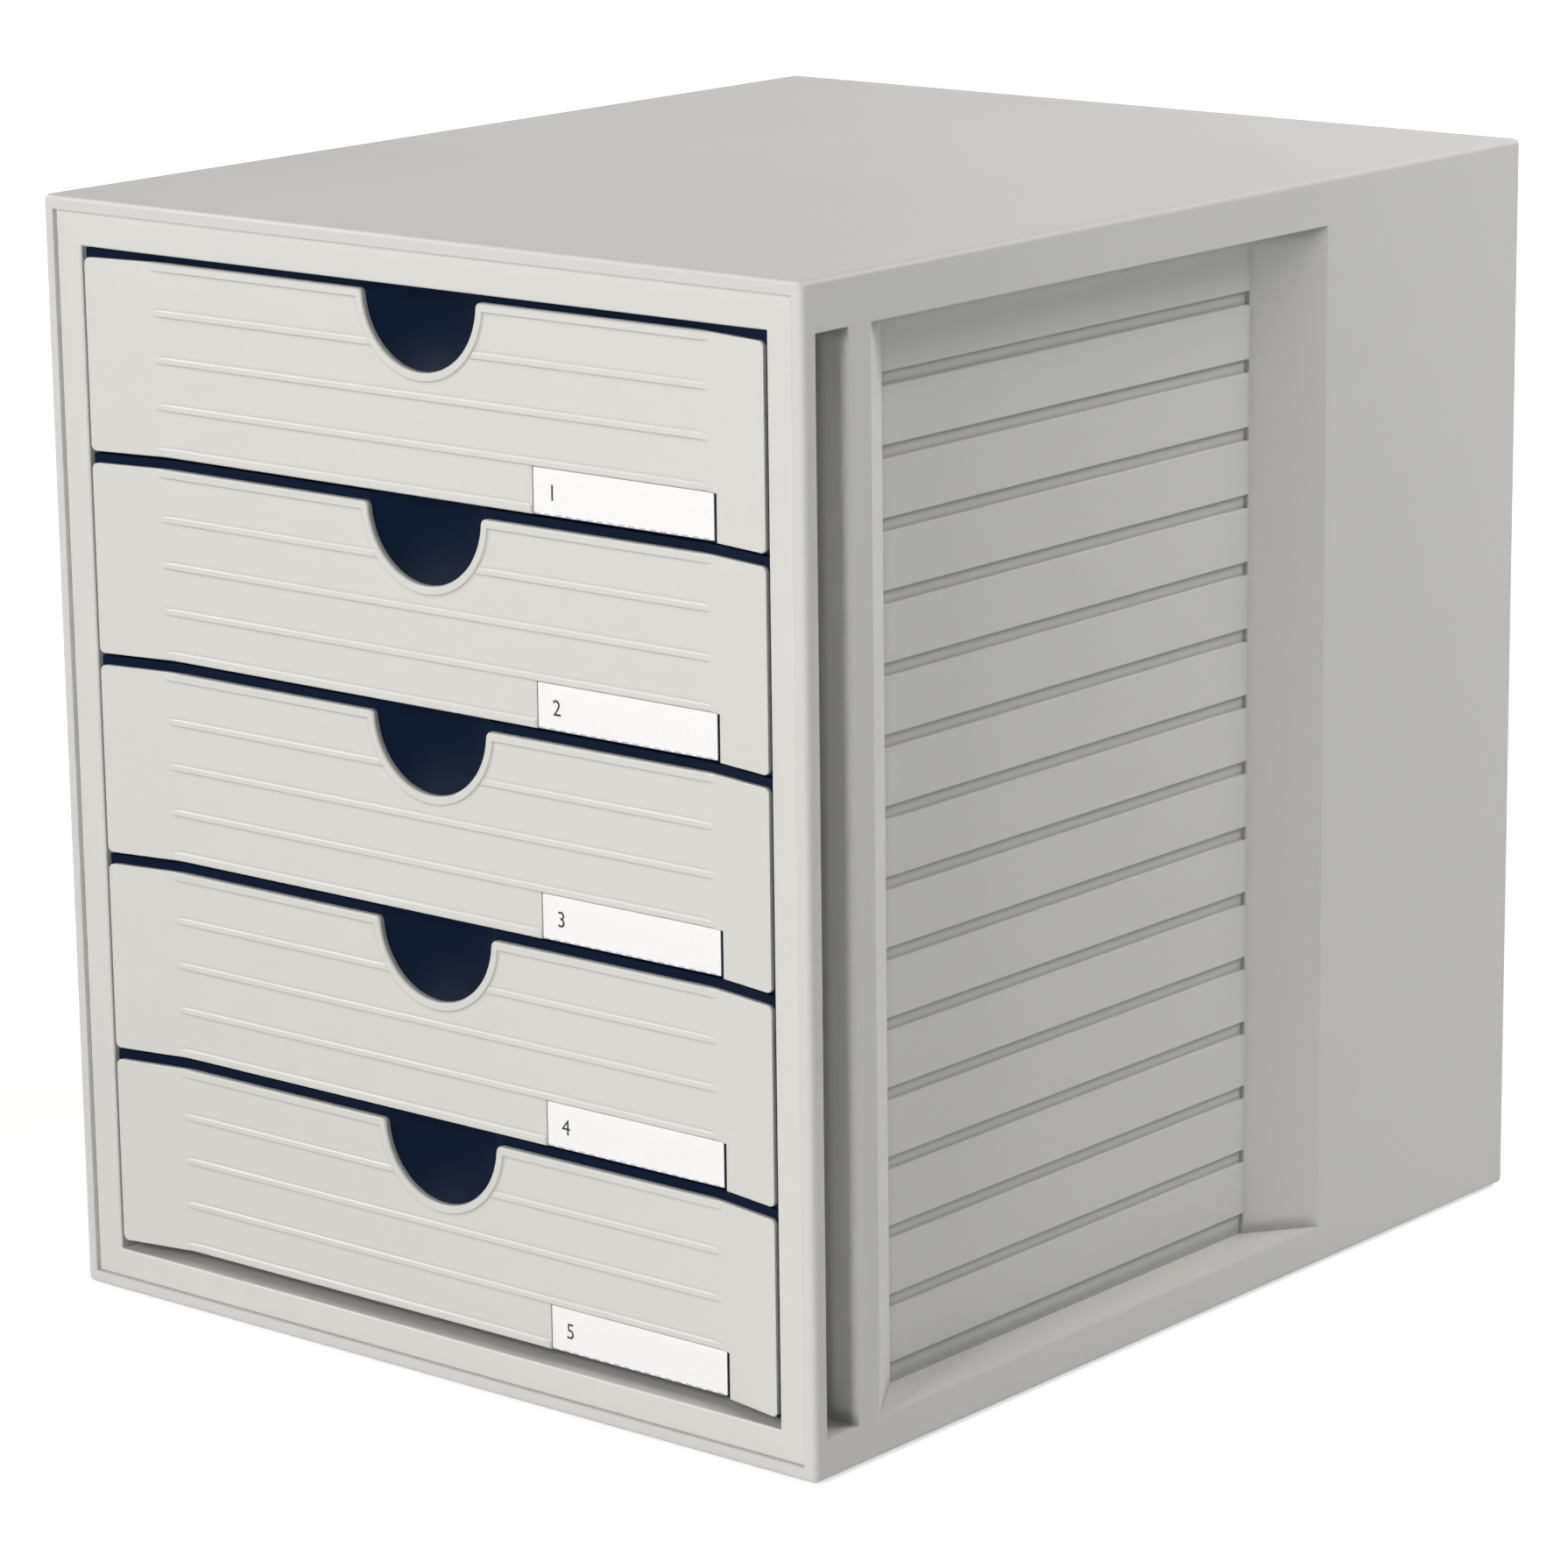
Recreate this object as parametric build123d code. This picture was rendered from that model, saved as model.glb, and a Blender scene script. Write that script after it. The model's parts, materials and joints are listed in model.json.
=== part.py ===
from build123d import *
import os

os.makedirs("parts", exist_ok=True)

# Desktop drawer unit. X is the width, the drawers face -Y, and Z is up.
# The origin is on the table, under the middle of the unit. All sizes are in millimetres.

# Overall size
width = 275.0
depth = 330.0
height = 320.0
drawer_count = 5

# Clearances
fit_gap = 0.1       # between fixed pieces that seat on each other
run_gap = 0.3       # between pieces that slide past each other
overcut = 1.0       # how far a cutting block reaches past the face that it cuts
ahead_reach = 20.0  # how far the space ahead of a tray's front wall is cleared

# Rubber feet
foot_width = 12.0
foot_corner_cut = 1.5
foot_thickness = 2.0
foot_proud = 1.0
foot_inset = 22.0

# Housing shell
shell_wall = 2.4
shell_edge_radius = 1.8
rim_width = 4.0
rim_depth = 3.2
web_thickness = 1.6

# Front frame, set back inside the rim
frame_setback = 1.4
side_border = 13.3
top_border = 13.8
bottom_border = 12.2
frame_edge_radius = 0.8
sill_thickness = 1.6
sill_reach = 12.0

# Grip slot in each side
slot_length = 13.2
slot_depth = 11.6
pod_wall = 1.8

# Louvred recess in each side
recess_setback = 27.0
recess_length = 204.0
recess_depth = 12.6
recess_end_run = 19.9
recess_draft = 0.5
recess_low_extra = 0.75
slat_count = 15
channel_height = 3.9
channel_depth = 1.0
last_channel_height = 6.3
first_slat_extra = 1.0

# Rear panel
rear_thickness = 2.4
rear_setback = 1.5
rear_corner_radius = 1.0

# Runner panels
runner_thickness = 1.8
runner_setback = 20.0
runner_web_thickness = 2.0
runner_web_places = (0.005, 0.80, 0.97)
rail_width = 3.2
rail_thickness = 2.0

# Drawer fronts
front_side_gap = 1.1
front_gap = 3.5
top_gap = 3.0
bottom_gap = 3.0
front_setback = 1.5
bevel_run = 24.6
bevel_drop = 4.6
bend_radius = 32.0
front_thickness = 1.5
front_corner_radius = 1.8
notch_radius = 20.8
notch_corner_radius = 1.5
detail_reach = 5.4
bead_width = 2.6
bead_height = 0.6
bead_draft = 30.0
rib_count = 3
rib_width = 2.0
rib_height = 0.5
rib_draft = 30.0
rib_top_space = 14.3

# Label recess and card
label_width = 62.4
label_height = 12.4
label_recess_depth = 0.6
label_thickness = 0.35
label_margin = 0.2
label_top_margin = 0.35
label_slot_width = 1.8
label_slot_undercut = 1.2

# Trays
carrier_thickness = 2.0
carrier_reach = 0.5
carrier_rise = 2.5
carrier_drop = 0.5
tray_wall = 1.8
tray_floor = 2.0
tray_lift = 1.5
tray_corner_cut = 3.0
tray_chamfer = 3.0
flange_thickness = 2.0
flange_drop = 3.8
lug_length = 6.0
lug_height = 2.4
travel = 250.0
stop_gap = 1.0

# Finger bowl behind the notch
bowl_margin = 0.4
bowl_depth = 8.0
bowl_wall = 1.6

# Snap tongues that hold a front on its tray
tongue_width = 8.0
tongue_thickness = 1.6
tongue_hook = 0.6
tongue_hook_length = 1.2
tongue_spread = 70.0
tongue_rise = 14.0

# Places that follow from the sizes above
front_y = -depth / 2
rear_y = depth / 2
shell_low = foot_proud
inner_low = shell_low + shell_wall
inner_high = height - shell_wall
web_back_y = front_y + rim_depth + web_thickness
opening_half = width / 2 - side_border
opening_low = shell_low + bottom_border
opening_high = height - top_border
opening_height = opening_high - opening_low
pod_half = width / 2 - slot_depth - pod_wall
slot_rear_y = web_back_y + slot_length
recess_front_y = front_y + recess_setback
recess_rear_y = recess_front_y + recess_length
recess_end_slope = recess_end_run / recess_depth
recess_draft_slope = recess_draft / recess_depth
recess_floor_low = opening_low - recess_low_extra + recess_draft
recess_floor_high = opening_high - recess_draft
slat_span = recess_floor_high - first_slat_extra - recess_floor_low - last_channel_height + channel_height
slat_pitch = slat_span / slat_count
runner_outer = width / 2 - recess_depth - channel_depth - pod_wall - fit_gap
runner_inner = runner_outer - runner_thickness
rail_inner = runner_inner - rail_width
rear_inner_y = rear_y - rear_setback - rear_thickness
front_half = opening_half - front_side_gap
flat_half = front_half - bevel_run
detail_half = flat_half + detail_reach
flat_y = front_y + front_setback + bevel_drop
front_stack = opening_height - top_gap - bottom_gap - (drawer_count - 1) * front_gap
front_height = front_stack / drawer_count
drawer_pitch = front_height + front_gap
front_back_y = flat_y + front_thickness
label_recess_width = label_width + 2 * label_margin + label_slot_width
label_recess_height = label_margin + label_height + label_top_margin
rib_rise = label_recess_height + rib_width / 2
rib_pitch = (front_height - rib_rise - rib_top_space) / (rib_count - 1)
carrier_half = front_half + carrier_reach
carrier_top = front_height + carrier_rise
carrier_back_y = front_back_y + carrier_thickness
bowl_edge = notch_radius + bowl_margin
bowl_radius = (bowl_edge ** 2 + bowl_depth ** 2) / (2 * bowl_depth)
bowl_centre_y = front_back_y + bowl_depth - bowl_radius
tray_half = rail_inner - run_gap
flange_half = runner_inner - run_gap
tray_rear_y = rear_inner_y - run_gap
flange_top = front_height - flange_drop
rail_top = flange_top - flange_thickness - run_gap
keeper_low = flange_top + run_gap
lug_rear_y = tray_rear_y - tray_corner_cut
lug_front_y = lug_rear_y - lug_length
keeper_rear_y = lug_front_y - travel - stop_gap


def block(x_low, x_high, y_low, y_high, z_low, z_high):
    """Box between two corners."""
    middle = ((x_low + x_high) / 2, (y_low + y_high) / 2, (z_low + z_high) / 2)
    return Pos(*middle) * Box(x_high - x_low, y_high - y_low, z_high - z_low)


def both_sides(right):
    """A right-hand piece together with its mirror image."""
    return right + mirror(right, Plane.YZ)


def front_low(number):
    """Height of the lower edge of a drawer front. Drawer 1 is at the top."""
    return opening_low + bottom_gap + (drawer_count - number) * drawer_pitch


def recess_block(reach, wall=0.0):
    """Block of the right louvre recess down to a depth, or of the pod that walls it in."""
    sections = []
    for inset in (-overcut, reach):
        run = recess_end_slope * (inset - wall)
        rise = recess_draft_slope * inset - wall
        y_low = recess_front_y + run
        y_high = recess_rear_y - run
        z_low = recess_floor_low - recess_draft + rise
        z_high = opening_high - rise
        plane = Plane(origin=(width / 2 - inset, 0, 0), x_dir=(0, 1, 0), z_dir=(1, 0, 0))
        middle = Pos((y_low + y_high) / 2, (z_low + z_high) / 2)
        section = plane * middle * Rectangle(y_high - y_low, z_high - z_low)
        sections.append(section.face())
    return loft(sections, ruled=True)


def slot_block(wall=0.0):
    """Block of the right grip slot, or of the pod that walls it in."""
    x_low = width / 2 - slot_depth - wall
    z_low = recess_floor_low - recess_draft - wall
    return block(x_low, width / 2 + overcut, web_back_y, slot_rear_y + wall, z_low, opening_high + wall)


def louvre_channels():
    """Channels between the slats on the floor of the right recess."""
    x_floor = width / 2 - recess_depth
    y_low = recess_front_y + recess_end_run
    y_high = recess_rear_y - recess_end_run
    channels = Part()
    for index in range(slat_count):
        slat_low = recess_floor_high - first_slat_extra - (index + 1) * slat_pitch + channel_height
        z_low = slat_low - channel_height
        if index == slat_count - 1:
            z_low = recess_floor_low
        channels += block(x_floor - channel_depth, x_floor + channel_depth, y_low, y_high, z_low, slat_low)
    return channels


def foot_places():
    """Name and centre of each foot."""
    x = width / 2 - foot_inset
    y = depth / 2 - foot_inset
    return {
        "front_left": (-x, -y),
        "front_right": (x, -y),
        "rear_left": (-x, y),
        "rear_right": (x, y),
    }


def foot_pad(gap, top):
    """Square pad with cut corners, standing on the table: a foot, or with a gap the socket for it."""
    half = foot_width / 2 + gap
    pad = block(-half, half, -half, half, 0, top)
    return chamfer(pad.edges().filter_by(Axis.Z), foot_corner_cut)


def make_shell():
    """Housing shell: one moulding, open at the front and the rear."""
    outer = block(-width / 2, width / 2, front_y, rear_y, shell_low, height)
    outer = fillet(outer.edges(), shell_edge_radius)
    inner_half = width / 2 - shell_wall
    cavity = block(-inner_half, inner_half, web_back_y, rear_y + overcut, inner_low, inner_high)
    pods = recess_block(recess_depth + channel_depth + pod_wall, pod_wall) + slot_block(pod_wall)
    cavity -= both_sides(pods)
    rim_half = width / 2 - rim_width
    rim_low = shell_low + rim_width
    rebate = block(-rim_half, rim_half, front_y - overcut, front_y + rim_depth, rim_low, height - rim_width)
    web_low = opening_low - sill_thickness - fit_gap
    web_high = opening_high + sill_thickness + fit_gap
    mouth = block(-opening_half, opening_half, front_y, web_back_y + overcut, web_low, web_high)
    side_cuts = recess_block(recess_depth) + slot_block() + louvre_channels()
    shell = outer - cavity - rebate - mouth - both_sides(side_cuts)
    socket_top = shell_low + foot_thickness - foot_proud
    socket = foot_pad(fit_gap, socket_top)
    for x, y in foot_places().values():
        shell -= Pos(x, y, 0) * socket
    return shell


def make_front_frame():
    """Flat frame round the drawers, with a sill and a lintel that reach inward."""
    half = width / 2 - rim_width - fit_gap
    low = shell_low + rim_width + fit_gap
    high = height - rim_width - fit_gap
    y_low = front_y + frame_setback
    y_high = front_y + rim_depth
    plate = block(-half, half, y_low, y_high, low, high)
    plate -= block(-opening_half, opening_half, y_low - overcut, y_high + overcut, opening_low, opening_high)
    sill_half = pod_half - run_gap
    sill_back = y_high + sill_reach
    for z_low in (opening_low - sill_thickness, opening_high):
        plate += block(-opening_half, opening_half, y_high, web_back_y, z_low, z_low + sill_thickness)
        plate += block(-sill_half, sill_half, web_back_y, sill_back, z_low, z_low + sill_thickness)
    mouth_edges = plate.faces().sort_by(Axis.Y)[0].inner_wires()[0].edges()
    return fillet(mouth_edges, frame_edge_radius)


def make_rear_panel():
    """Plate that closes the shell at the rear."""
    half = width / 2 - shell_wall - fit_gap
    y_low = rear_inner_y
    y_high = rear_y - rear_setback
    panel = block(-half, half, y_low, y_high, inner_low + fit_gap, inner_high - fit_gap)
    return fillet(panel.edges().filter_by(Axis.Y), rear_corner_radius)


def make_runner_panel():
    """Right runner panel, with a rail and a keeper for each tray and webs that stand on the shell's side."""
    y_low = front_y + runner_setback
    y_high = rear_inner_y - fit_gap
    z_low = inner_low + fit_gap
    z_high = inner_high - fit_gap
    panel = block(runner_inner, runner_outer, y_low, y_high, z_low, z_high)
    web_outer = width / 2 - shell_wall - fit_gap
    for share in runner_web_places:
        web_y = y_low + share * (y_high - y_low)
        panel += block(runner_outer, web_outer, web_y, web_y + runner_web_thickness, z_low, z_high)
    for number in range(1, drawer_count + 1):
        base = front_low(number)
        rail_low = base + rail_top - rail_thickness
        panel += block(rail_inner, runner_inner, y_low, y_high, rail_low, base + rail_top)
        keeper = base + keeper_low
        panel += block(rail_inner, runner_inner, y_low, keeper_rear_y, keeper, keeper + rail_thickness)
    return panel


def bent_plate(half, back, thickness, top=front_height):
    """Plate that follows the bevels of a drawer front in plan, a given distance behind its face."""
    edge_drop = bevel_drop * (front_half - half) / bevel_run
    edge_y = front_y + front_setback + edge_drop + back
    middle_y = flat_y + back
    line = [(-half, edge_y), (-flat_half, middle_y), (flat_half, middle_y), (half, edge_y)]
    far_line = [(x, y + thickness) for x, y in line]
    with BuildSketch() as plan:
        with BuildLine():
            FilletPolyline(*line, radius=bend_radius)
            FilletPolyline(*far_line, radius=bend_radius)
            Line(line[0], far_line[0])
            Line(line[-1], far_line[-1])
        make_face()
    return extrude(plan.sketch, amount=top)


def front_outline():
    """Outline of a drawer front seen from the front, with its finger notch."""
    with BuildSketch() as outline:
        with Locations((0, front_height / 2)):
            RectangleRounded(2 * front_half, front_height, front_corner_radius)
        with Locations((0, front_height)):
            Circle(notch_radius, mode=Mode.SUBTRACT)
        top = outline.vertices().group_by(Axis.Y)[-1]
        notch_corners = top.sort_by(lambda corner: abs(corner.X))[:2]
        fillet(notch_corners, notch_corner_radius)
    return outline.sketch


def elevation(sketch):
    """Places a sketch drawn as seen from the front on the plane of the fronts' flat middle."""
    plane = Plane(origin=(0, flat_y, 0), x_dir=(1, 0, 0), z_dir=(0, -1, 0))
    return plane * sketch


def front_beads():
    """Raised beads along the top edge, round the notch and along the bottom edge as far as the label."""
    outline = front_outline()
    inner = offset(outline, amount=-bead_width)
    middle = Pos(0, front_height / 2) * Rectangle(2 * detail_half, 2 * front_height)
    label_zone = Pos(detail_half, 0) * Rectangle(2 * label_recess_width, front_height)
    band = (outline & middle) - inner - label_zone
    beads = Part()
    for face in elevation(band).faces():
        beads += extrude(face, amount=bead_height, taper=bead_draft)
    return beads


def front_ribs():
    """Thin raised ribs across the flat middle of a front, cut short by the notch bead."""
    ribs = Part()
    inner = offset(front_outline(), amount=-bead_width)
    for index in range(rib_count):
        middle_z = rib_rise + index * rib_pitch
        bar = Pos(0, middle_z) * Rectangle(2 * detail_half, rib_width)
        for face in elevation(bar & inner).faces():
            ribs += extrude(face, amount=rib_height, taper=rib_draft)
    return ribs


def tongue_places():
    """Centres of the four snap tongues, seen from the front."""
    places = []
    for x in (-tongue_spread, tongue_spread):
        for z in (tongue_rise, front_height - tongue_rise):
            places.append((x, z))
    return places


def make_front():
    """Drawer front with its lower edge at height 0."""
    plate = bent_plate(front_half, 0.0, front_thickness)
    cutter = extrude(elevation(front_outline()), amount=bevel_drop + carrier_back_y - flat_y, both=True)
    front = plate & cutter
    front += front_beads()
    front += front_ribs()
    recess_left = detail_half - label_recess_width
    recess_y = flat_y + label_recess_depth
    ahead_y = flat_y - bevel_drop
    front -= block(recess_left, detail_half, ahead_y, recess_y, -overcut, label_recess_height)
    slot_left = detail_half - label_slot_width - label_slot_undercut
    front -= block(slot_left, detail_half, ahead_y, front_back_y + overcut, -overcut, label_recess_height)
    hook_y = carrier_back_y + fit_gap
    for x, z in tongue_places():
        x_low = x - tongue_width / 2
        x_high = x + tongue_width / 2
        z_low = z - tongue_thickness / 2
        z_high = z + tongue_thickness / 2
        hook_end = hook_y + tongue_hook_length
        front += block(x_low, x_high, front_back_y - front_thickness / 2, hook_end, z_low, z_high)
        front += block(x_low, x_high, hook_y, hook_end, z_low, z_high + tongue_hook)
    return front


def make_label():
    """Label card of a front that has its lower edge at height 0."""
    x_high = detail_half - label_slot_width - label_margin
    y_high = flat_y + label_recess_depth
    z_low = label_margin
    return block(x_high - label_width, x_high, y_high - label_thickness, y_high, z_low, z_low + label_height)


def tray_block(inset, low, top, front_end):
    """Block of a tray's outside or inside, with chamfered rear corners and a chamfered floor."""
    half = tray_half - inset
    body = block(-half, half, front_end, tray_rear_y - inset, low, top)
    corners = body.edges().filter_by(Axis.Z).group_by(Axis.Y)[-1]
    body = chamfer(corners, tray_corner_cut - inset / 2)
    floor_edges = body.faces().sort_by(Axis.Z)[0].edges()
    front_edge = floor_edges.sort_by(Axis.Y)[0]
    return chamfer(floor_edges - [front_edge], tray_chamfer - inset / 2)


def finger_bowl():
    """Shallow bowl behind the notch of a front, open above, and the ball that hollows it out."""
    middle = Pos(0, bowl_centre_y, front_height)
    ball = middle * Sphere(bowl_radius)
    reach = bowl_radius + bowl_wall
    zone = block(-reach, reach, front_back_y, carrier_back_y + bowl_depth, 0, carrier_top)
    bowl = (middle * Sphere(reach) - ball) & zone
    return bowl, ball


def make_tray():
    """Tray that belongs to a front with its lower edge at height 0."""
    tray_front_y = front_y + front_setback + front_thickness + carrier_thickness
    body = tray_block(0, tray_lift, flange_top, tray_front_y)
    hollow = tray_block(tray_wall, tray_lift + tray_floor, front_height, front_y)
    ahead = bent_plate(tray_half + tray_wall, front_thickness - ahead_reach, ahead_reach)
    bowl, ball = finger_bowl()
    carrier = bent_plate(carrier_half, front_thickness, carrier_thickness, carrier_top + carrier_drop)
    carrier = Pos(0, 0, -carrier_drop) * carrier
    tray = body - hollow - ahead + (carrier - ball) + bowl
    flange_low = flange_top - flange_thickness
    flange_front_y = front_y + runner_setback
    wall_x = tray_half - tray_wall
    side = block(wall_x, flange_half, flange_front_y, lug_rear_y, flange_low, flange_top)
    side += block(tray_half, flange_half, lug_front_y, lug_rear_y, flange_low, flange_top + lug_height)
    tray += both_sides(side)
    for x, z in tongue_places():
        x_low = x - tongue_width / 2 - fit_gap
        x_high = x + tongue_width / 2 + fit_gap
        z_low = z - tongue_thickness / 2 - fit_gap
        z_high = z + tongue_thickness / 2 + tongue_hook + fit_gap
        tray -= block(x_low, x_high, flat_y, carrier_back_y + overcut, z_low, z_high)
    return tray


def write_part(name, solid):
    """Writes one named piece to its own file."""
    export_step(solid, f"parts/{name}.step")


runner_right = make_runner_panel()
write_part("housing_shell", make_shell())
write_part("front_frame", make_front_frame())
write_part("rear_panel", make_rear_panel())
write_part("runner_panel_right", runner_right)
write_part("runner_panel_left", mirror(runner_right, Plane.YZ))
foot = foot_pad(0.0, foot_thickness)
for place, (foot_x, foot_y) in foot_places().items():
    write_part(f"rubber_foot_{place}", Pos(foot_x, foot_y, 0) * foot)
front = make_front()
label = make_label()
tray = make_tray()
for number in range(1, drawer_count + 1):
    lift = Pos(0, 0, front_low(number))
    write_part(f"drawer_{number}_front", lift * front)
    write_part(f"drawer_{number}_label", lift * label)
    write_part(f"drawer_{number}_tray", lift * tray)
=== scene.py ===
import bpy
import json
import math
from mathutils import Matrix, Vector

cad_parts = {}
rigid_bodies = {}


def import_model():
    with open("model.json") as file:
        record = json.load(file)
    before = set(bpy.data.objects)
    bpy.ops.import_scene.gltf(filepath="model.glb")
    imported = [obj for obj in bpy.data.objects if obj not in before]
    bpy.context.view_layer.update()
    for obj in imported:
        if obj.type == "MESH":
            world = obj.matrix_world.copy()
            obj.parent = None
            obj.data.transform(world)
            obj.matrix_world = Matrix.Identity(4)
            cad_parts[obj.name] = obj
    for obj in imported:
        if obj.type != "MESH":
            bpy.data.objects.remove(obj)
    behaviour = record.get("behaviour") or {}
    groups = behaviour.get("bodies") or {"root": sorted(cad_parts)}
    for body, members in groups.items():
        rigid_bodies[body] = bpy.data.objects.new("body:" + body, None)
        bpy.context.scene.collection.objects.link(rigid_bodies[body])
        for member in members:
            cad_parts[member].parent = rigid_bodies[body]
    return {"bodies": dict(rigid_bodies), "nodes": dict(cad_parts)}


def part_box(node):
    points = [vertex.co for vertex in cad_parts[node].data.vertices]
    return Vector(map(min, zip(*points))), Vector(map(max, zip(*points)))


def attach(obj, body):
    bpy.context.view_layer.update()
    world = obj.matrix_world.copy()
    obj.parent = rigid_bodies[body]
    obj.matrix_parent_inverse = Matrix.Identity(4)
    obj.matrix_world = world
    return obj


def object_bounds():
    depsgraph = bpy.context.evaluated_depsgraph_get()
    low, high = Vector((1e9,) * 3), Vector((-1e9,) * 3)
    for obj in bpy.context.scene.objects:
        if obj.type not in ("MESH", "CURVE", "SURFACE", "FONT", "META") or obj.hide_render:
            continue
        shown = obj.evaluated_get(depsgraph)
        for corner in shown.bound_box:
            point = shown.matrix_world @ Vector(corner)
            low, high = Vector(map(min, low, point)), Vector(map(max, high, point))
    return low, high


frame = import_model()
cad_low, cad_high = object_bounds()

# Lengths are in metres, in the frame's own coordinates: the drawers face -Y and Z is up.
MM = 0.001
NODES = frame["nodes"]
DRAWERS = [name for name in frame["bodies"] if name.startswith("drawer_")]

# Camera, fitted to the corners of the unit in the photograph
IMAGE_SIZE = 1790
FOCAL_PIXELS = 6650.0
SENSOR_WIDTH = 36.0
CAMERA_AZIMUTH = 39.84
CAMERA_ELEVATION = 13.80
CAMERA_ROLL = -0.72
CAMERA_DISTANCE = 1.490
AIM_FROM_LEFT = 0.2670
AIM_HEIGHT = 0.1897

# Edge rounding of the moulded pieces
HOUSING_EDGE = 0.30 * MM
FRAME_EDGE = 0.18 * MM
FRONT_EDGE = 0.22 * MM
TRAY_EDGE = 0.35 * MM
EDGE_SEGMENTS = 2
SHARP_ANGLE = math.radians(28)
FLAT_ANGLE = math.radians(0.4)
WELD_REACH = 0.002 * MM

# Moulded plastics: linear colour, grain height, colour variation, shaded edge radius, and the painted shade
# of corners and channels, with how far it reaches and how far behind the front of the unit it begins
PLASTICS = {
    "housing_grey": dict(
        colour=(0.655, 0.655, 0.635),
        roughness=0.50,
        grain=0.035 * MM,
        variation=0.012,
        specular=0.38,
        radius=0.50 * MM,
        # painted shade in the louvre channels and in the corners behind the rim
        painted_shade_factor=0.66,
        reach=4.5 * MM,
        rim=12.0 * MM,
    ),
    "frame_grey": dict(
        colour=(0.680, 0.680, 0.655),
        roughness=0.48,
        grain=0.030 * MM,
        variation=0.012,
        radius=0.15 * MM,
    ),
    "front_grey": dict(
        colour=(0.655, 0.655, 0.625),
        roughness=0.46,
        grain=0.030 * MM,
        variation=0.014,
        specular=0.9,
        radius=0.55 * MM,
        # painted shadow under the ribs and in the corners of the fronts
        painted_shade_factor=0.76,
        reach=1.3 * MM,
    ),
    "runner_grey": dict(
        colour=(0.500, 0.500, 0.490),
        roughness=0.42,
        grain=0.015 * MM,
        variation=0.010,
    ),
    "tray_navy": dict(
        colour=(0.004, 0.010, 0.026),
        roughness=0.62,
        grain=0.020 * MM,
        variation=0.060,
        specular=0.05,
    ),
    "foot_rubber": dict(
        colour=(0.030, 0.030, 0.032),
        roughness=0.80,
        grain=0.050 * MM,
        variation=0.100,
        specular=0.3,
    ),
}

# Grain of the plastics
FLOW_SCALE = 9.0
SPECKLE_SCALE = 1500.0
SPECKLE_SHARE = 0.5
GRAIN_SCALE = 2600.0
GRAIN_STRENGTH = 0.35
ROUGHNESS_SPREAD = 0.05
NOISE_MIDDLE = 0.5
NOISE_SPREAD = 0.18

# Painted shade of corners and channels: full at this openness, and only where the normal's Z lies under the
# limits
SHADING_SAMPLES = 8
PAINTED_SHADE_OPENNESS = 0.75
LEVEL_NORMAL = 0.5
UPRIGHT_NORMAL = 0.1

# Label cards and their numbers
CARD_WHITE = (0.940, 0.940, 0.935)
CARD_FIBRE_SCALE = 700.0
CARD_FIBRE_DEPTH = 0.02 * MM
EDGE_DASH_TINT = (0.60, 0.61, 0.72)
EDGE_DASH_COUNT = 17.0
EDGE_DASH_SHARE = 0.62
EDGE_DASH_HEIGHT = 0.035
NUMBER_HEIGHT = 4.4 * MM
NUMBER_LEFT = 5.0 * MM
NUMBER_DEPTH = 0.03 * MM
CAPITAL_SHARE = 0.70
INK = (0.012, 0.012, 0.014)
INK_SCALE = 2500.0

# Floor, and its glow towards the camera by distance from the middle of the unit
FLOOR_SIZE = 12.0
FLOOR_WHITE = (0.80, 0.80, 0.80)
GLOW_NEAR = 0.35
GLOW_FAR = 1.60
GLOW_LEAST = 0.62

# Lamps and the world's own light
LAMP_AIM = (0.0, 0.0, 0.16)
LAMPS = {
    "key_front": dict(place=(0.15, -3.4, 1.35), size=(1.5, 2.4), watts=100.0, colour=(1.0, 0.985, 0.975)),
    "steep_right": dict(place=(0.7, 0.7, 1.1), size=(0.7, 0.7), watts=10.8, colour=(1.0, 0.97, 0.945)),
    "rear_right": dict(place=(1.3, 0.9, 0.3), size=(0.6, 0.6), watts=1.0, colour=(0.60, 0.80, 1.0)),
    "fill_left": dict(place=(-2.6, 0.2, 0.6), size=(1.2, 1.2), watts=24.0, colour=(1.0, 0.98, 0.96)),
    "fill_rear": dict(place=(-0.6, 3.0, 0.6), size=(1.2, 1.2), watts=12.0, colour=(1.0, 0.98, 0.96)),
    "edge_light": dict(place=(-1.55, -1.0, 1.75), size=(1.0, 1.0), watts=50.0, colour=(1.0, 0.99, 0.98)),
}
AMBIENT_COLOUR = (0.96, 0.98, 1.0)
AMBIENT_STRENGTH = 0.03


class Tree:
    """Short way to add and link the nodes of one material."""

    def __init__(self, name):
        self.material = bpy.data.materials.new(name)
        self.material.use_nodes = True
        self.nodes = self.material.node_tree.nodes
        self.links = self.material.node_tree.links
        self.nodes.clear()

    def add(self, kind, **values):
        node = self.nodes.new(kind)
        for key, value in values.items():
            if key in node.inputs:
                node.inputs[key].default_value = value
            else:
                setattr(node, key, value)
        return node

    def link(self, output, target):
        self.links.new(output, target)


def noise(tree, coordinates, scale, detail, roughness=0.5):
    node = tree.add("ShaderNodeTexNoise", Scale=scale, Detail=detail, Roughness=roughness)
    tree.link(coordinates, node.inputs["Vector"])
    return node.outputs["Fac"]


def spread(tree, value, low, high):
    """Maps a noise value round its middle to the range from low to high."""
    node = tree.add("ShaderNodeMapRange")
    node.inputs["From Min"].default_value = NOISE_MIDDLE - NOISE_SPREAD
    node.inputs["From Max"].default_value = NOISE_MIDDLE + NOISE_SPREAD
    node.inputs["To Min"].default_value = low
    node.inputs["To Max"].default_value = high
    tree.link(value, node.inputs["Value"])
    return node.outputs["Result"]


def shade(colour, factor):
    """Colour scaled by a factor, as red, green, blue and alpha."""
    return (*[min(1.0, channel * factor) for channel in colour], 1.0)


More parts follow.
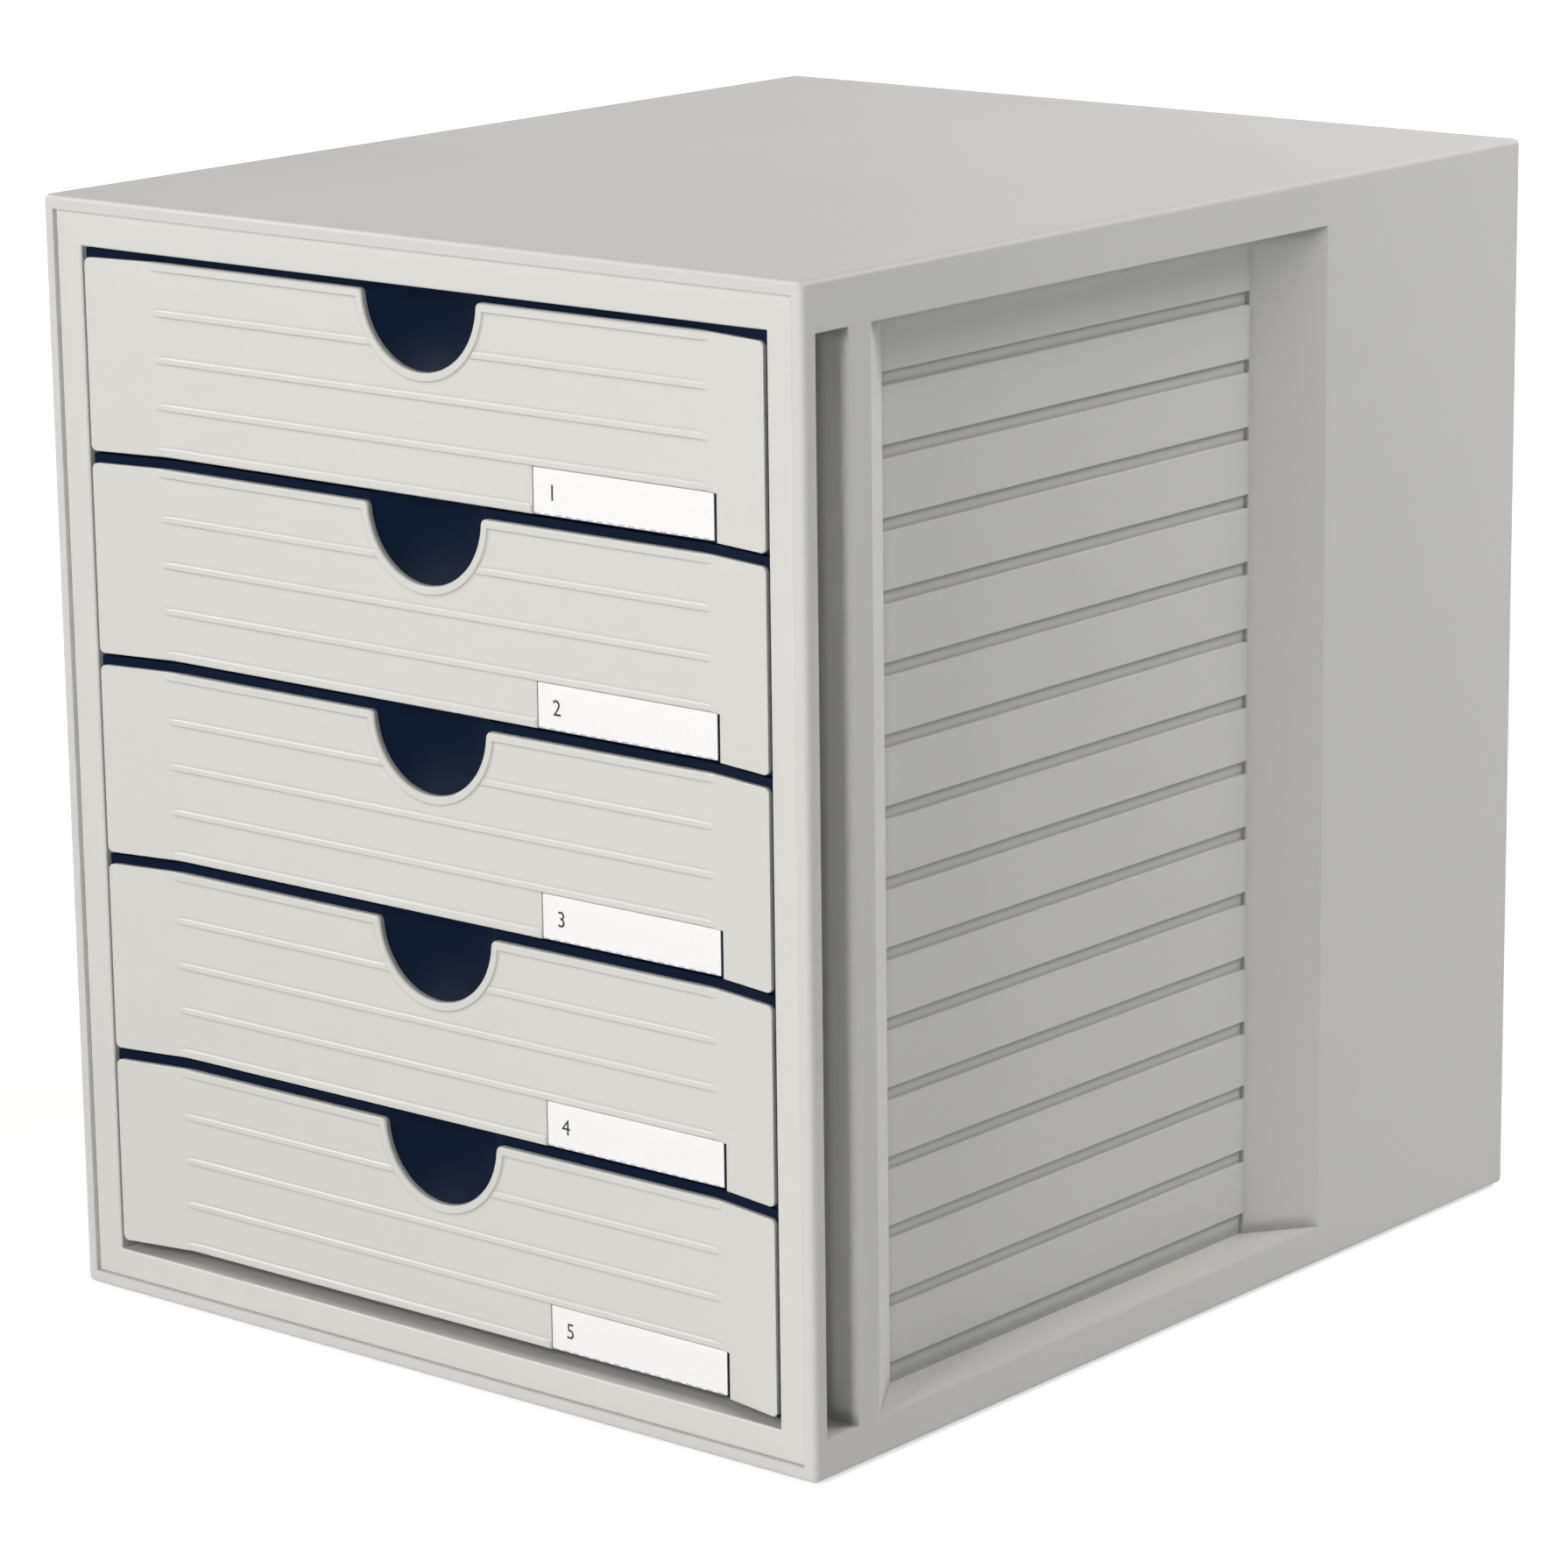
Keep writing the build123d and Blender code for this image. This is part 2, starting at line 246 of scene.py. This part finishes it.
def painted_corner_shade(tree, colour, painted_shade_factor, reach, rim):
    """Paints shade into a colour: darkens it in channels and corners, behind the rim and on faces that don't
    look up.
    """
    if painted_shade_factor == 1.0:
        return colour
    openness = tree.add("ShaderNodeAmbientOcclusion", samples=SHADING_SAMPLES, only_local=True)
    openness.inputs["Distance"].default_value = reach
    factor = tree.add("ShaderNodeMapRange")
    factor.inputs["From Min"].default_value = PAINTED_SHADE_OPENNESS
    factor.inputs["To Min"].default_value = painted_shade_factor
    tree.link(openness.outputs["AO"], factor.inputs["Value"])
    place = tree.add("ShaderNodeSeparateXYZ")
    tree.link(tree.add("ShaderNodeTexCoord").outputs["Object"], place.inputs["Vector"])
    behind = tree.add("ShaderNodeMath", operation="GREATER_THAN")
    behind.inputs[1].default_value = cad_low.y + rim
    tree.link(place.outputs["Y"], behind.inputs[0])
    facing = tree.add("ShaderNodeSeparateXYZ")
    tree.link(tree.add("ShaderNodeNewGeometry").outputs["Normal"], facing.inputs["Vector"])
    upright = tree.add("ShaderNodeMapRange")
    upright.inputs["From Min"].default_value = LEVEL_NORMAL
    upright.inputs["From Max"].default_value = UPRIGHT_NORMAL
    tree.link(facing.outputs["Z"], upright.inputs["Value"])
    share = tree.add("ShaderNodeMath", operation="MULTIPLY")
    tree.link(behind.outputs["Value"], share.inputs[0])
    tree.link(upright.outputs["Result"], share.inputs[1])
    product = tree.add("ShaderNodeMix", data_type="RGBA", blend_type="MULTIPLY")
    tree.link(share.outputs["Value"], product.inputs["Factor"])
    tree.link(colour, product.inputs["A"])
    tree.link(factor.outputs["Result"], product.inputs["B"])
    return product.outputs["Result"]


def moulded_plastic(
    name, colour, roughness, grain, variation, specular=0.5, radius=0.0, painted_shade_factor=1.0, reach=0.0, rim=0.0
):
    """Injection-moulded plastic: fine spark-eroded grain, faint flow variation, softly rounded edges and
    painted shade in corners.
    """
    tree = Tree(name)
    output = tree.add("ShaderNodeOutputMaterial")
    shader = tree.add("ShaderNodeBsdfPrincipled")
    shader.inputs["Specular IOR Level"].default_value = specular
    tree.link(shader.outputs["BSDF"], output.inputs["Surface"])
    place = tree.add("ShaderNodeTexCoord").outputs["Object"]
    flow = noise(tree, place, FLOW_SCALE, 3.0)
    speckle = noise(tree, place, SPECKLE_SCALE, 2.0, 0.6)
    tint = tree.add("ShaderNodeMix", data_type="RGBA")
    tint.inputs["A"].default_value = shade(colour, 1.0 - variation)
    tint.inputs["B"].default_value = shade(colour, 1.0 + variation)
    amount = tree.add("ShaderNodeMath", operation="MULTIPLY_ADD")
    amount.inputs[1].default_value = 1.0 - SPECKLE_SHARE
    tree.link(spread(tree, flow, 0.0, 1.0), amount.inputs[0])
    tree.link(spread(tree, speckle, 0.0, SPECKLE_SHARE), amount.inputs[2])
    tree.link(amount.outputs["Value"], tint.inputs["Factor"])
    # painted shade: the colour is darkened in channels and corners, where shade falls
    shade_painted_colour = painted_corner_shade(tree, tint.outputs["Result"], painted_shade_factor, reach, rim)
    tree.link(shade_painted_colour, shader.inputs["Base Color"])
    gloss = spread(tree, flow, roughness - ROUGHNESS_SPREAD, roughness + ROUGHNESS_SPREAD)
    tree.link(gloss, shader.inputs["Roughness"])
    bump = tree.add("ShaderNodeBump", Strength=GRAIN_STRENGTH, Distance=grain)
    tree.link(noise(tree, place, GRAIN_SCALE, 2.0, 0.65), bump.inputs["Height"])
    tree.link(bump.outputs["Normal"], shader.inputs["Normal"])
    if radius:
        rounding = tree.add("ShaderNodeBevel", samples=SHADING_SAMPLES, Radius=radius)
        tree.link(rounding.outputs["Normal"], bump.inputs["Normal"])
    return tree.material


def label_card():
    """White card with a faint fibre grain and a dashed bluish-grey line along its lower edge."""
    tree = Tree("label_card")
    output = tree.add("ShaderNodeOutputMaterial")
    shader = tree.add("ShaderNodeBsdfPrincipled", Roughness=0.62)
    tree.link(shader.outputs["BSDF"], output.inputs["Surface"])
    coordinates = tree.add("ShaderNodeTexCoord")
    fibre = noise(tree, coordinates.outputs["Object"], CARD_FIBRE_SCALE, 4.0, 0.6)
    parts = tree.add("ShaderNodeSeparateXYZ")
    tree.link(coordinates.outputs["Generated"], parts.inputs["Vector"])
    repeat = tree.add("ShaderNodeMath", operation="MULTIPLY")
    repeat.inputs[1].default_value = EDGE_DASH_COUNT
    tree.link(parts.outputs["X"], repeat.inputs[0])
    fraction = tree.add("ShaderNodeMath", operation="FRACT")
    tree.link(repeat.outputs["Value"], fraction.inputs[0])
    dash = tree.add("ShaderNodeMath", operation="LESS_THAN")
    dash.inputs[1].default_value = EDGE_DASH_SHARE
    tree.link(fraction.outputs["Value"], dash.inputs[0])
    edge = tree.add("ShaderNodeMath", operation="LESS_THAN")
    edge.inputs[1].default_value = EDGE_DASH_HEIGHT
    tree.link(parts.outputs["Z"], edge.inputs[0])
    both = tree.add("ShaderNodeMath", operation="MULTIPLY")
    tree.link(dash.outputs["Value"], both.inputs[0])
    tree.link(edge.outputs["Value"], both.inputs[1])
    paper = tree.add("ShaderNodeMix", data_type="RGBA")
    paper.inputs["A"].default_value = shade(CARD_WHITE, 0.99)
    paper.inputs["B"].default_value = shade(CARD_WHITE, 1.01)
    tree.link(spread(tree, fibre, 0.0, 1.0), paper.inputs["Factor"])
    printed = tree.add("ShaderNodeMix", data_type="RGBA")
    printed.inputs["B"].default_value = (*EDGE_DASH_TINT, 1.0)
    tree.link(both.outputs["Value"], printed.inputs["Factor"])
    tree.link(paper.outputs["Result"], printed.inputs["A"])
    tree.link(printed.outputs["Result"], shader.inputs["Base Color"])
    bump = tree.add("ShaderNodeBump", Strength=0.2, Distance=CARD_FIBRE_DEPTH)
    tree.link(fibre, bump.inputs["Height"])
    tree.link(bump.outputs["Normal"], shader.inputs["Normal"])
    return tree.material


def ink():
    """Black printing ink, a little uneven."""
    tree = Tree("label_ink")
    output = tree.add("ShaderNodeOutputMaterial")
    shader = tree.add("ShaderNodeBsdfPrincipled", Roughness=0.5)
    tree.link(shader.outputs["BSDF"], output.inputs["Surface"])
    place = tree.add("ShaderNodeTexCoord").outputs["Object"]
    tint = tree.add("ShaderNodeMix", data_type="RGBA")
    tint.inputs["A"].default_value = shade(INK, 0.7)
    tint.inputs["B"].default_value = shade(INK, 1.6)
    tree.link(spread(tree, noise(tree, place, INK_SCALE, 2.0), 0.0, 1.0), tint.inputs["Factor"])
    tree.link(tint.outputs["Result"], shader.inputs["Base Color"])
    return tree.material


def seen_ray(nodes, links):
    """Value that is 1 for camera, glossy and transmission rays, and 0 for the rays that light the object."""
    path = nodes.new("ShaderNodeLightPath")
    seen = path.outputs["Is Camera Ray"]
    for kind in ("Is Glossy Ray", "Is Transmission Ray"):
        either = nodes.new("ShaderNodeMath")
        either.operation = "MAXIMUM"
        links.new(seen, either.inputs[0])
        links.new(path.outputs[kind], either.inputs[1])
        seen = either.outputs["Value"]
    return seen


def floor_white():
    """Pale floor: white where it is seen or reflected, plain diffuse to the rays that light the object."""
    tree = Tree("floor_white")
    output = tree.add("ShaderNodeOutputMaterial")
    diffuse = tree.add("ShaderNodeBsdfDiffuse", Color=(*FLOOR_WHITE, 1.0))
    distance = tree.add("ShaderNodeVectorMath", operation="LENGTH")
    tree.link(tree.add("ShaderNodeTexCoord").outputs["Object"], distance.inputs[0])
    strength = tree.add("ShaderNodeMapRange")
    strength.inputs["From Min"].default_value = GLOW_NEAR
    strength.inputs["From Max"].default_value = GLOW_FAR
    strength.inputs["To Min"].default_value = GLOW_LEAST
    tree.link(distance.outputs["Value"], strength.inputs["Value"])
    glow = tree.add("ShaderNodeEmission")
    tree.link(strength.outputs["Result"], glow.inputs["Strength"])
    total = tree.add("ShaderNodeAddShader")
    pick = tree.add("ShaderNodeMixShader")
    tree.link(diffuse.outputs["BSDF"], total.inputs[0])
    tree.link(glow.outputs["Emission"], total.inputs[1])
    tree.link(seen_ray(tree.nodes, tree.links), pick.inputs["Fac"])
    tree.link(diffuse.outputs["BSDF"], pick.inputs[1])
    tree.link(total.outputs["Shader"], pick.inputs[2])
    tree.link(pick.outputs["Shader"], output.inputs["Surface"])
    return tree.material


def paint(node, material):
    """Gives a piece one material in every slot."""
    if not node.data.materials:
        node.data.materials.append(material)
    for slot in node.material_slots:
        slot.material = material


def smooth_faces():
    """Node group that shades every face of a mesh smoothly."""
    group = bpy.data.node_groups.new("smooth_faces", "GeometryNodeTree")
    group.interface.new_socket("Geometry", in_out="INPUT", socket_type="NodeSocketGeometry")
    group.interface.new_socket("Geometry", in_out="OUTPUT", socket_type="NodeSocketGeometry")
    start = group.nodes.new("NodeGroupInput")
    smooth = group.nodes.new("GeometryNodeSetShadeSmooth")
    end = group.nodes.new("NodeGroupOutput")
    group.links.new(start.outputs[0], smooth.inputs["Geometry"])
    group.links.new(smooth.outputs["Geometry"], end.inputs[0])
    return group


def soften(node, width, group):
    """Rounds the sharp edges of a moulded piece and evens its shading."""
    weld = node.modifiers.new("weld", "WELD")
    weld.merge_threshold = WELD_REACH
    planar = node.modifiers.new("planar", "DECIMATE")
    planar.decimate_type = "DISSOLVE"
    planar.angle_limit = FLAT_ANGLE
    bevel = node.modifiers.new("bevel", "BEVEL")
    bevel.width = width
    bevel.segments = EDGE_SEGMENTS
    bevel.limit_method = "ANGLE"
    bevel.angle_limit = SHARP_ANGLE
    bevel.miter_outer = "MITER_ARC"
    smooth = node.modifiers.new("smooth", "NODES")
    smooth.node_group = group
    even = node.modifiers.new("even", "WEIGHTED_NORMAL")
    even.weight = 100


def dress_nodes():
    """Materials and softened edges of the construction pieces."""
    plastics = {name: moulded_plastic(name, **values) for name, values in PLASTICS.items()}
    card = label_card()
    group = smooth_faces()
    for name, node in NODES.items():
        if name in ("housing_shell", "rear_panel"):
            paint(node, plastics["housing_grey"])
            soften(node, HOUSING_EDGE, group)
        elif name == "front_frame":
            paint(node, plastics["frame_grey"])
            soften(node, FRAME_EDGE, group)
        elif name.startswith("runner_panel"):
            paint(node, plastics["runner_grey"])
        elif name.startswith("rubber_foot"):
            paint(node, plastics["foot_rubber"])
        elif name.endswith("_front"):
            paint(node, plastics["front_grey"])
            soften(node, FRONT_EDGE, group)
        elif name.endswith("_tray"):
            paint(node, plastics["tray_navy"])
            soften(node, TRAY_EDGE, group)
        else:
            paint(node, card)


def add_numbers():
    """Plain numbers printed on the label cards."""
    material = ink()
    for body in DRAWERS:
        low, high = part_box(body + "_label")
        curve = bpy.data.curves.new(body + "_number", "FONT")
        curve.body = body.split("_")[1]
        curve.size = NUMBER_HEIGHT / CAPITAL_SHARE
        curve.extrude = NUMBER_DEPTH / 2
        curve.resolution_u = 6
        shape = bpy.data.objects.new(body + "_number", curve)
        bpy.context.scene.collection.objects.link(shape)
        shape.rotation_euler = (math.radians(90), 0, 0)
        height = (low.z + high.z - NUMBER_HEIGHT) / 2
        shape.location = (low.x + NUMBER_LEFT, low.y - NUMBER_DEPTH / 4, height)
        bpy.context.view_layer.update()
        evaluated = shape.evaluated_get(bpy.context.evaluated_depsgraph_get())
        mesh = bpy.data.meshes.new_from_object(evaluated)
        mesh.transform(shape.matrix_world)
        bpy.data.objects.remove(shape)
        number = bpy.data.objects.new(body + "_number", mesh)
        bpy.context.scene.collection.objects.link(number)
        mesh.materials.clear()
        mesh.materials.append(material)
        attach(number, body)


def add_floor():
    bpy.ops.mesh.primitive_plane_add(size=FLOOR_SIZE, location=(0, 0, 0))
    floor = bpy.context.object
    floor.name = "studio_floor"
    floor.data.materials.append(floor_white())


def add_softbox(name, place, size, watts, colour):
    """Rectangular lamp that faces the middle of the unit."""
    lamp = bpy.data.lights.new(name, "AREA")
    lamp.shape = "RECTANGLE"
    lamp.size, lamp.size_y = size
    lamp.energy = watts
    lamp.color = colour
    holder = bpy.data.objects.new(name, lamp)
    bpy.context.scene.collection.objects.link(holder)
    holder.location = place
    holder.rotation_euler = (Vector(LAMP_AIM) - Vector(place)).to_track_quat("-Z", "Y").to_euler()
    return holder


def add_lights():
    """Soft studio light: the key gives no reflection of itself, and the edge light gives only gloss."""
    lamps = {name: add_softbox(name, **values) for name, values in LAMPS.items()}
    lamps["key_front"].visible_glossy = False
    lamps["edge_light"].visible_diffuse = False
    world = bpy.data.worlds.new("studio")
    bpy.context.scene.world = world
    world.use_nodes = True
    nodes = world.node_tree.nodes
    links = world.node_tree.links
    nodes.clear()
    output = nodes.new("ShaderNodeOutputWorld")
    ambient = nodes.new("ShaderNodeBackground")
    ambient.inputs["Color"].default_value = (*AMBIENT_COLOUR, 1.0)
    ambient.inputs["Strength"].default_value = AMBIENT_STRENGTH
    seen = nodes.new("ShaderNodeBackground")
    seen.inputs["Color"].default_value = (1.0, 1.0, 1.0, 1.0)
    pick = nodes.new("ShaderNodeMixShader")
    links.new(seen_ray(nodes, links), pick.inputs["Fac"])
    links.new(ambient.outputs["Background"], pick.inputs[1])
    links.new(seen.outputs["Background"], pick.inputs[2])
    links.new(pick.outputs["Shader"], output.inputs["Surface"])


def add_camera():
    """Camera at the photograph's viewing angle."""
    data = bpy.data.cameras.new("camera")
    data.sensor_width = SENSOR_WIDTH
    data.lens = FOCAL_PIXELS / IMAGE_SIZE * SENSOR_WIDTH
    data.clip_start = 0.05
    data.clip_end = 50.0
    camera = bpy.data.objects.new("camera", data)
    bpy.context.scene.collection.objects.link(camera)
    yaw = math.radians(CAMERA_AZIMUTH)
    pitch = math.radians(CAMERA_ELEVATION)
    back = Vector((math.sin(yaw) * math.cos(pitch), -math.cos(yaw) * math.cos(pitch), math.sin(pitch)))
    aim = Vector((cad_low.x + AIM_FROM_LEFT, cad_low.y, AIM_HEIGHT))
    camera.location = aim + back * CAMERA_DISTANCE
    turn = (-back).to_track_quat("-Z", "Y").to_matrix().to_4x4()
    roll = Matrix.Rotation(math.radians(CAMERA_ROLL), 4, "Z")
    camera.rotation_euler = (turn @ roll).to_euler()
    bpy.context.scene.camera = camera


dress_nodes()
add_numbers()
add_floor()
add_lights()
add_camera()
bpy.context.scene.view_settings.view_transform = "Standard"
